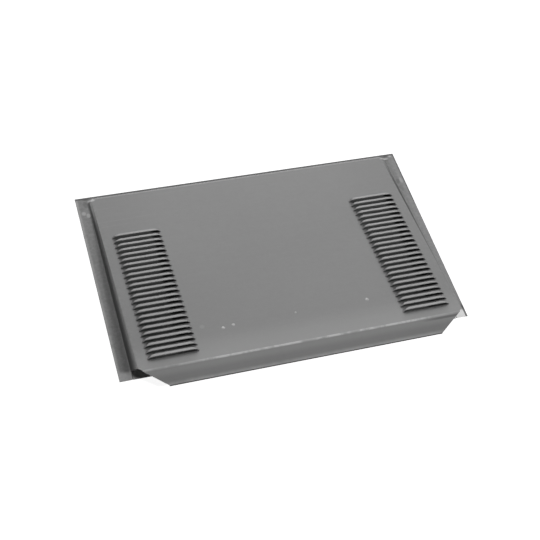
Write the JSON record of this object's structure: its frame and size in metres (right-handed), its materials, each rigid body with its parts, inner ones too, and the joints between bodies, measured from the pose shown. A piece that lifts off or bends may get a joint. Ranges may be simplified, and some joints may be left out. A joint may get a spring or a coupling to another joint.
{
  "type": "slant back roof vent",
  "caption": "Low sheet-metal roof vent with a slanting back: a sloping top with louvres near both sides, low side walls, a nailing flange and an open front under a visor.",
  "frame": {"origin": "middle of the vent's footprint, on the plane of the flange's underside, which lies on the roof", "axes": "+X across the roof, +Y up the roof slope towards the low back edge, +Z off the roof"},
  "size_m": [0.61, 0.4198, 0.0484],
  "materials": {
    "galvanised_sheet": "dull grey galvanised sheet"
  },
  "bodies": {
    "root": {"vent_hood": "galvanised_sheet"}
  },
  "joints": []
}
